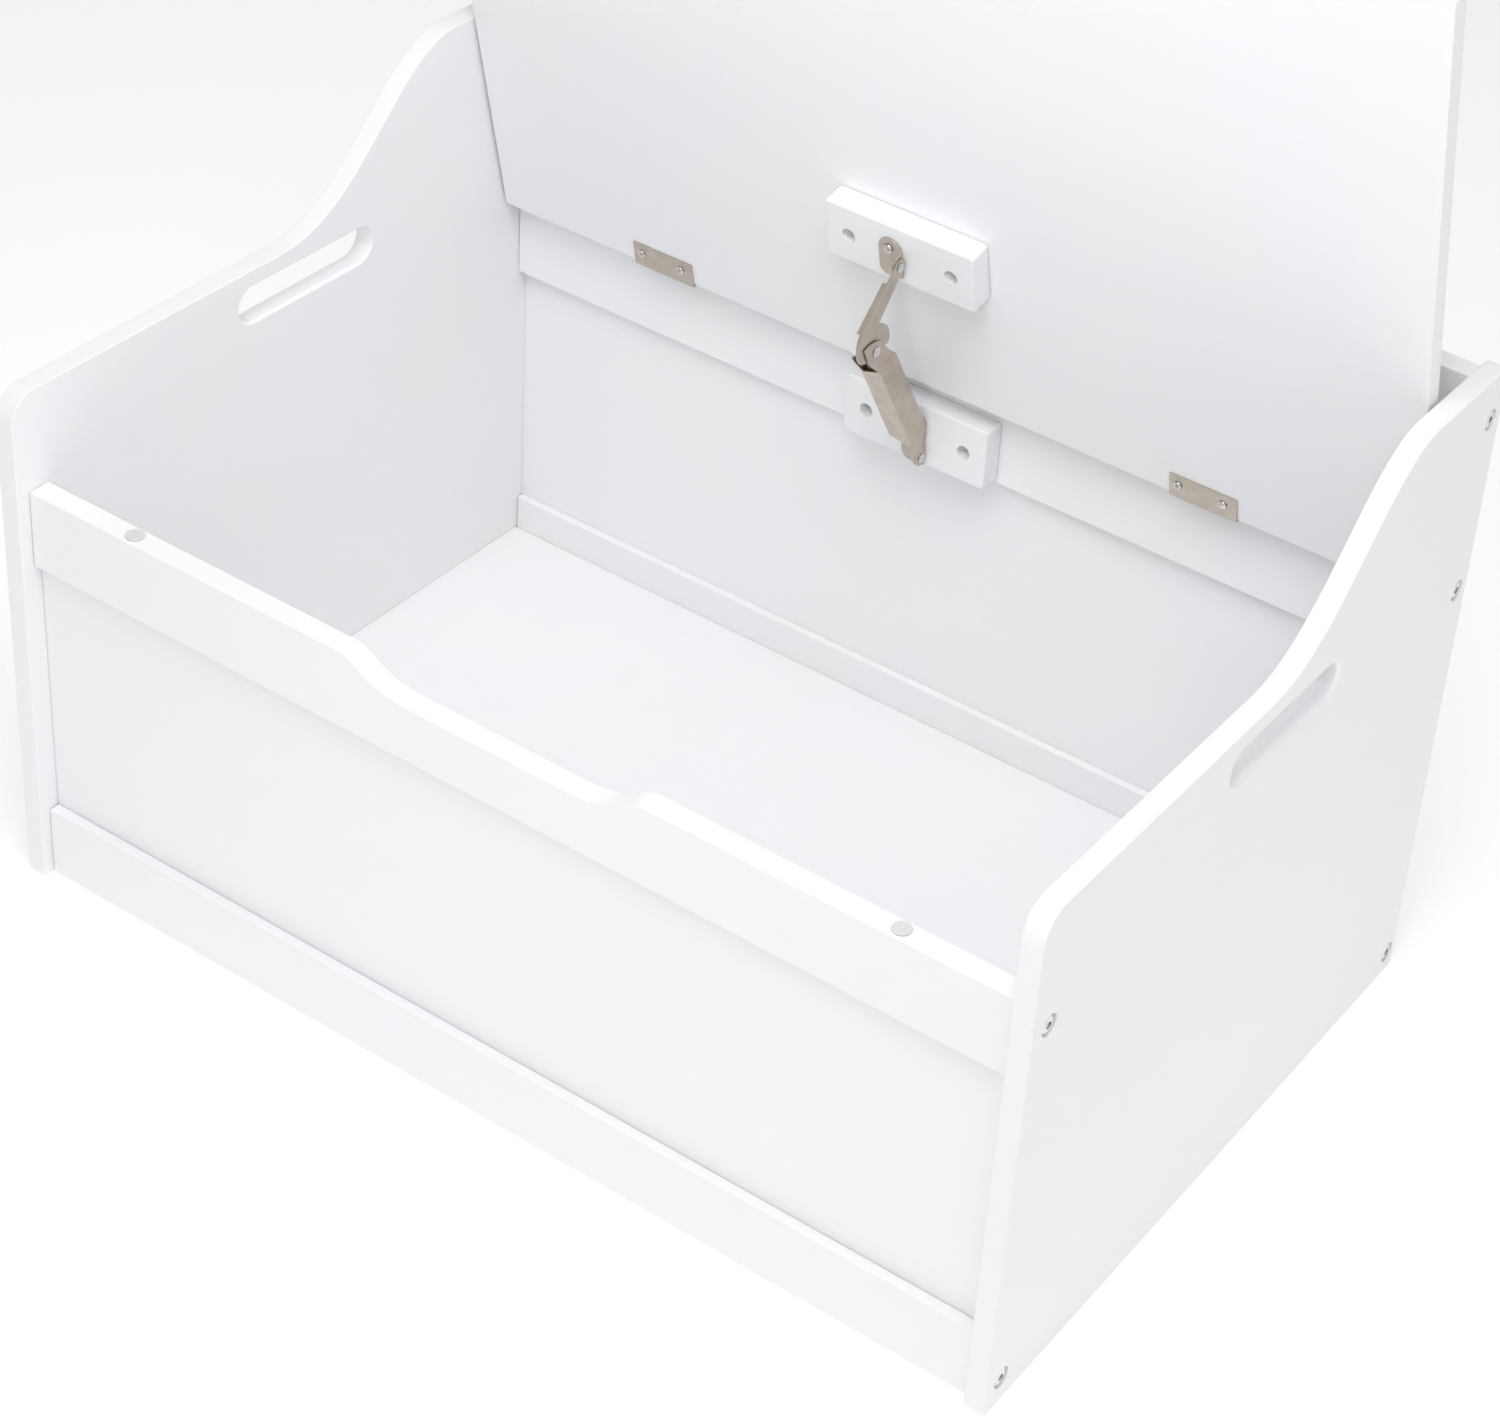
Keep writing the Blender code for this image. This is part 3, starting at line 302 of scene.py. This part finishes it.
def hardware():
    leaves = ("hinge_lid_leaf_left", "hinge_lid_leaf_right", "hinge_rail_leaf_left", "hinge_rail_leaf_right")
    stay = ("stay_lid_bracket", "stay_base_bracket", "stay_housing", "stay_arm")
    for names, along in ((leaves, "X"), (stay, "Z")):
        for node in names:
            carried(node, satin_nickel(node + "_nickel", along), METAL_EDGE)
    for node in ("lid_rivet", "base_rivet", "knee_rivet", "hinge_pin_left", "hinge_pin_right"):
        carried(node, zinc(node + "_zinc"), METAL_EDGE, ROUND_BEND)
    carried("stay_plunger", zinc("plunger_zinc", SPRING_GREY, 0.35), METAL_EDGE)
    for node in ("bumper_left", "bumper_right"):
        carried(node, silicone(node + "_silicone"), METAL_EDGE, ROUND_BEND)


# ---------------------------------------------------------------- what repeats
REAL = "NodeSocketFloat"
WHOLE = "NodeSocketInt"
MATERIAL = "NodeSocketMaterial"


class Plan:
    """A geometry node tree, written as one call per node."""

    def __init__(self, name, sizes):
        self.tree = bpy.data.node_groups.new(name, "GeometryNodeTree")
        face = self.tree.interface
        face.new_socket("Geometry", in_out="INPUT", socket_type="NodeSocketGeometry")
        self.ids = {}
        for label in sizes:
            self.ids[label] = face.new_socket(label, in_out="INPUT", socket_type=REAL).identifier
        for label, kind in (("Seed", WHOLE), ("Finish", MATERIAL)):
            self.ids[label] = face.new_socket(label, in_out="INPUT", socket_type=kind).identifier
        face.new_socket("Geometry", in_out="OUTPUT", socket_type="NodeSocketGeometry")
        self.given = self.tree.nodes.new("NodeGroupInput").outputs
        self.result = self.tree.nodes.new("NodeGroupOutput").inputs["Geometry"]

    def node(self, kind, values=None, **settings):
        made = self.tree.nodes.new(kind)
        for key, value in settings.items():
            setattr(made, key, value)
        for key, value in (values or {}).items():
            self.feed(made.inputs[key], value)
        return made

    def feed(self, socket, value):
        if isinstance(value, bpy.types.NodeSocket):
            self.tree.links.new(value, socket)
        else:
            socket.default_value = value

    def maths(self, operation, one, two=0.0):
        return self.node("ShaderNodeMath", {0: one, 1: two}, operation=operation).outputs[0]

    def times(self, one, two):
        return self.maths("MULTIPLY", one, two)

    def vector(self, x=0.0, y=0.0, z=0.0):
        return self.node("ShaderNodeCombineXYZ", {0: x, 1: y, 2: z}).outputs[0]

    def joined(self, *shapes):
        gather = self.node("GeometryNodeJoinGeometry")
        for shape in shapes:
            self.tree.links.new(shape, gather.inputs[0])
        return gather.outputs[0]

    def moved(self, shape, place):
        return self.node("GeometryNodeTransform", {"Geometry": shape, "Translation": place}).outputs[0]

    def ring(self, radius, steps):
        return self.node("GeometryNodeCurvePrimitiveCircle",
                         {"Resolution": steps, "Radius": radius}).outputs[0]

    def wound(self, radius, height, turns, steps, profile):
        """A profile swept along a helix, closed at both ends."""
        helix = self.node("GeometryNodeCurveSpiral", {
            "Resolution": steps, "Rotations": turns, "Start Radius": radius, "End Radius": radius,
            "Height": height}).outputs[0]
        swept = {"Curve": helix, "Profile Curve": profile, "Fill Caps": True}
        return self.node("GeometryNodeCurveToMesh", swept).outputs[0]

    def placed(self, shape):
        """One copy at each given point, standing along its way, turned a little at random."""
        way = self.node("GeometryNodeInputNamedAttribute", {"Name": "way"},
                        data_type="FLOAT_VECTOR").outputs[0]
        stand = self.node("FunctionNodeAlignRotationToVector", {"Vector": way}, axis="Z").outputs[0]
        turn = self.node("FunctionNodeRandomValue", {2: 0.0, 3: 2 * math.pi, "Seed": self.given["Seed"]},
                         data_type="FLOAT").outputs[1]
        spun = self.node("FunctionNodeAxisAngleToRotation",
                         {"Axis": (0.0, 0.0, 1.0), "Angle": turn}).outputs[0]
        both = self.node("FunctionNodeRotateRotation", {"Rotation": stand, "Rotate By": spun},
                         rotation_space="LOCAL").outputs[0]
        copies = self.node("GeometryNodeInstanceOnPoints", {
            "Points": self.given["Geometry"], "Instance": shape, "Rotation": both}).outputs[0]
        real = self.node("GeometryNodeRealizeInstances", {"Geometry": copies}).outputs[0]
        done = self.node("GeometryNodeSetMaterial", {"Geometry": real, "Material": self.given["Finish"]})
        self.tree.links.new(done.outputs[0], self.result)


def screw_head(plan):
    """A tube pulled in to a flat-topped dome, closed by a disc underneath."""
    given = plan.given
    skin = plan.node("GeometryNodeMeshCylinder", {
        "Vertices": HEAD_SIDES, "Side Segments": HEAD_RINGS, "Radius": 1.0, "Depth": 1.0},
        fill_type="NONE").outputs["Mesh"]
    here = plan.node("GeometryNodeInputPosition").outputs[0]
    x, y, z = plan.node("ShaderNodeSeparateXYZ", {0: here}).outputs
    quarter = plan.times(plan.maths("ADD", z, 0.5), math.pi / 2)
    reach = plan.maths("POWER", plan.maths("MAXIMUM", plan.maths("COSINE", quarter)), HEAD_ROUND)
    rise = plan.maths("POWER", plan.maths("MAXIMUM", plan.maths("SINE", quarter)), HEAD_ROUND)
    wide = plan.times(reach, given["Head Radius"])
    place = plan.vector(plan.times(x, wide), plan.times(y, wide), plan.times(rise, given["Head Height"]))
    dome = plan.node("GeometryNodeSetPosition", {"Geometry": skin, "Position": place}).outputs[0]
    disc = plan.node("GeometryNodeMeshCircle", {"Vertices": HEAD_SIDES, "Radius": given["Head Radius"]},
                     fill_type="NGON").outputs[0]
    under = plan.node("GeometryNodeFlipFaces", {"Mesh": disc}).outputs[0]
    return plan.node("GeometryNodeMergeByDistance",
                     {"Geometry": plan.joined(dome, under), "Distance": MERGE}).outputs[0]


def recess_tools(plan, recess):
    """What is cut out of the head: two crossed bars, or one hexagonal prism."""
    given = plan.given
    size = given["Recess Size"]
    floor = plan.maths("SUBTRACT", given["Head Height"], given["Recess Depth"])
    middle = plan.vector(z=plan.maths("ADD", floor, RECESS_TALL / 2))
    if recess == "cross":
        slim = plan.times(size, CROSS_SLIM)
        shapes = [plan.node("GeometryNodeMeshCube", {"Size": plan.vector(*bar)}).outputs[0]
                  for bar in ((size, slim, RECESS_TALL), (slim, size, RECESS_TALL))]
    else:
        prism = {"Vertices": 6, "Radius": plan.times(size, 0.5), "Depth": RECESS_TALL}
        shapes = [plan.node("GeometryNodeMeshCylinder", prism).outputs[0]]
    return [plan.moved(shape, middle) for shape in shapes]


def screw_plan(name, recess):
    """Rounded head with a driver recess, a shank with a running thread, and a blunt tip."""
    plan = Plan(name, LEAF_SCREW)
    given = plan.given
    bored = plan.node("GeometryNodeMeshBoolean", {"Mesh 1": screw_head(plan)}, operation="DIFFERENCE")
    for tool in recess_tools(plan, recess):
        plan.tree.links.new(tool, bored.inputs["Mesh 2"])
    radius = given["Shank Radius"]
    straight = plan.times(given["Length"], SHANK_SHARE)
    shank = plan.node("GeometryNodeMeshCylinder",
                      {"Vertices": SHANK_SIDES, "Radius": radius, "Depth": straight}).outputs[0]
    shank = plan.moved(shank, plan.vector(z=plan.times(straight, -0.5)))
    tip = plan.node("GeometryNodeMeshCone", {
        "Vertices": SHANK_SIDES, "Radius Bottom": radius, "Radius Top": plan.times(radius, TIP_SHARE),
        "Depth": plan.maths("SUBTRACT", given["Length"], straight)}).outputs[0]
    tip = plan.node("GeometryNodeTransform", {
        "Geometry": tip, "Rotation": (math.pi, 0.0, 0.0),
        "Translation": plan.vector(z=plan.times(straight, -1.0))}).outputs[0]
    run = plan.times(given["Length"], THREAD_RUN)
    turns = plan.maths("DIVIDE", plan.maths("ABSOLUTE", run), given["Pitch"])
    thread = plan.wound(radius, run, turns, THREAD_STEPS, plan.ring(given["Thread"], 3))
    thread = plan.moved(thread, plan.vector(z=plan.times(given["Length"], THREAD_START)))
    plan.placed(plan.joined(bored.outputs["Mesh"], shank, tip, thread))
    return plan


def spring_plan():
    """Round wire wound at an even pitch, with one flat closed turn at either end."""
    plan = Plan("coil_spring", ("Coil Radius", "Wire Radius", "Height", "Turns"))
    given = plan.given
    wire = plan.ring(given["Wire Radius"], 12)
    flat = plan.times(given["Wire Radius"], 2.0)
    middle = plan.maths("SUBTRACT", given["Height"], plan.times(flat, 2.0))
    top = plan.maths("SUBTRACT", given["Height"], flat)
    coils = []
    for turns, tall, low in ((1.0, flat, 0.0), (given["Turns"], middle, flat), (1.0, flat, top)):
        coil = plan.wound(given["Coil Radius"], tall, turns, COIL_STEPS, wire)
        coils.append(plan.moved(coil, plan.vector(z=low)))
    plan.placed(plan.joined(*coils))
    return plan


def planted(name, plan, spots, sizes, mat, body, stands_for):
    """Runs a plan over points that each know their own direction, and keeps the result as a mesh."""
    mesh = bpy.data.meshes.new(name + "_spots")
    mesh.from_pydata([place for place, _ in spots], [], [])
    way = mesh.attributes.new("way", "FLOAT_VECTOR", "POINT")
    for item, (_, direction) in zip(way.data, spots):
        item.vector = direction
    source = bpy.data.objects.new(name + "_spots", mesh)
    bpy.context.scene.collection.objects.link(source)
    mod = source.modifiers.new(name, "NODES")
    mod.node_group = plan.tree
    for label, value in {**sizes, "Finish": mat}.items():
        mod[plan.ids[label]] = value
    made = bpy.data.meshes.new_from_object(source.evaluated_get(bpy.context.evaluated_depsgraph_get()))
    made.name = name
    bpy.data.objects.remove(source, do_unlink=True)
    bm = bmesh.new()
    bm.from_mesh(made)
    bmesh.ops.recalc_face_normals(bm, faces=bm.faces)
    bm.to_mesh(made)
    bm.free()
    made.shade_smooth()
    made.set_sharp_from_angle(angle=math.radians(CREASE_BEND))
    piece = bpy.data.objects.new(name, made)
    bpy.context.scene.collection.objects.link(piece)
    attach(piece, body)
    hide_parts(*stands_for)


def seat_of(node, way, tall):
    """Where a fastener's head sits: on its own axis, one head height below its top."""
    turn = way.to_track_quat("Z", "Y").to_matrix()
    points = [turn.transposed() @ vertex.co for vertex in nodes[node].data.vertices]
    middle = [(min(p[k] for p in points) + max(p[k] for p in points)) / 2 for k in (0, 1)]
    top = max(p[2] for p in points)
    return turn @ Vector((middle[0], middle[1], top - tall))


def fasteners():
    cross = screw_plan("cross_screw", "cross")
    hexagon = screw_plan("socket_bolt", "hexagon")
    lid_leaves = ("screw_lid_left_", "screw_lid_right_")
    for name, starts, plan, sizes, way, seed in (
        ("lid_leaf_screws", lid_leaves, cross, LEAF_SCREW, LID_UNDERSIDE, 11),
        ("rail_leaf_screws", "screw_rail_", cross, LEAF_SCREW, TO_FRONT, 12),
        ("lid_block_screws", "screw_lid_block_", cross, BLOCK_SCREW, LID_UNDERSIDE, 13),
        ("base_block_screws", "screw_base_block_", cross, BLOCK_SCREW, TO_FRONT, 14),
        ("lid_bracket_screw", "screw_lid_bracket", cross, BRACKET_SCREW, LID_UNDERSIDE, 15),
        ("base_bracket_screw", "screw_base_bracket", cross, BRACKET_SCREW, TO_FRONT, 16),
        ("left_bolts", "bolt_left_", hexagon, PANEL_BOLT, TO_LEFT, 17),
        ("right_bolts", "bolt_right_", hexagon, PANEL_BOLT, TO_RIGHT, 18),
    ):
        chosen = [node for node in sorted(nodes) if node.startswith(starts)]
        spots = [(seat_of(node, way, sizes["Head Height"]), way) for node in chosen]
        planted(name, plan, spots, {**sizes, "Seed": seed}, zinc(name + "_zinc"), body_name(chosen[0]),
                chosen)


def spring():
    low = middle_of("base_rivet")
    high = middle_of("knee_rivet")
    up = Vector((0.0, high.y - low.y, high.z - low.z)).normalized()
    points = [vertex.co for vertex in nodes["stay_spring"].data.vertices]
    heights = [point.dot(up) for point in points]
    centre = sum(points, Vector()) / len(points)
    foot = centre + up * (min(heights) + COIL_END - centre.dot(up))
    tall = max(heights) - min(heights) - 2 * COIL_END
    sizes = {"Coil Radius": COIL_RADIUS, "Wire Radius": COIL_WIRE, "Height": tall, "Turns": COIL_TURNS,
             "Seed": 19}
    planted("stay_spring_coil", spring_plan(), [(foot, up)], sizes, zinc("spring_zinc", SPRING_GREY, 0.30),
            body_name("stay_spring"), ["stay_spring"])


# ---------------------------------------------------------------- studio
FLOOR_SIZE = 14.0
FLOOR_DROP = 0.0005        # gap between the box's feet and the paper
PAPER_GLOW = 0.28
SKY = (0.985, 0.99, 1.0)
SKY_LIGHT = 0.46

# name, place, point it aims at, side in metres, watts, spread in degrees
LAMPS = (
    ("key", (0.9, -2.2, 3.4), (0, 0.1, 0.2), 2.8, 29.0, 180),
    ("fill", (2.6, 0.2, 1.8), (0, 0, 0.3), 2.0, 5.0, 180),
    ("top", (0.2, 0.1, 3.4), (0, 0.0, 0.1), 3.0, 12.0, 180),
    ("inside", (0.4, -0.6, 1.9), (-0.15, 0.22, 0.50), 1.0, 12.5, 180),
    ("lid_light", (0.9, -2.4, 1.6), (-0.05, 0.25, 0.62), 0.6, 0.32, 26),
)

CAMERA_PLACE = (1.1379, -1.6361, 1.7289)
CAMERA_TURN = (56.613, -5.262, 33.245)
CAMERA_LENS = 84.854
CAMERA_SENSOR = 36.0
CAMERA_SHIFT = (-0.170, -0.170)
CAMERA_REACH = 50.0


def paper_floor():
    mesh = bpy.data.meshes.new("studio_floor")
    bm = bmesh.new()
    bmesh.ops.create_grid(bm, x_segments=1, y_segments=1, size=FLOOR_SIZE / 2)
    bm.to_mesh(mesh)
    bm.free()
    floor = bpy.data.objects.new("studio_floor", mesh)
    floor.location.z = -FLOOR_DROP
    bpy.context.scene.collection.objects.link(floor)
    mat, _, shader = start_material("studio_paper")
    shader.inputs["Base Color"].default_value = (0.90, 0.90, 0.90, 1.0)
    shader.inputs["Roughness"].default_value = 0.9
    shader.inputs["Emission Color"].default_value = (1.0, 1.0, 1.0, 1.0)
    shader.inputs["Emission Strength"].default_value = PAPER_GLOW
    mesh.materials.append(mat)


def lights():
    world = bpy.data.worlds.new("studio_air")
    world.use_nodes = True
    sky = world.node_tree.nodes["Background"].inputs
    sky["Color"].default_value = (*SKY, 1.0)
    sky["Strength"].default_value = SKY_LIGHT
    bpy.context.scene.world = world
    bpy.context.scene.view_settings.view_transform = "Standard"

    for name, place, aim, size, power, spread in LAMPS:
        light = bpy.data.lights.new(name, "AREA")
        light.shape = "SQUARE"
        light.size = size
        light.energy = power
        light.spread = math.radians(spread)
        lamp = bpy.data.objects.new(name, light)
        lamp.location = place
        lamp.rotation_euler = (Vector(aim) - Vector(place)).to_track_quat("-Z", "Y").to_euler()
        bpy.context.scene.collection.objects.link(lamp)


def viewpoint():
    camera = bpy.data.cameras.new("camera")
    camera.lens = CAMERA_LENS
    camera.sensor_width = CAMERA_SENSOR
    camera.shift_x, camera.shift_y = CAMERA_SHIFT
    camera.clip_end = CAMERA_REACH
    viewer = bpy.data.objects.new("camera", camera)
    viewer.location = CAMERA_PLACE
    viewer.rotation_euler = [math.radians(turn) for turn in CAMERA_TURN]
    bpy.context.scene.collection.objects.link(viewer)
    bpy.context.scene.camera = viewer


boards()
hardware()
fasteners()
spring()
paper_floor()
lights()
viewpoint()

bpy.context.view_layer.update()
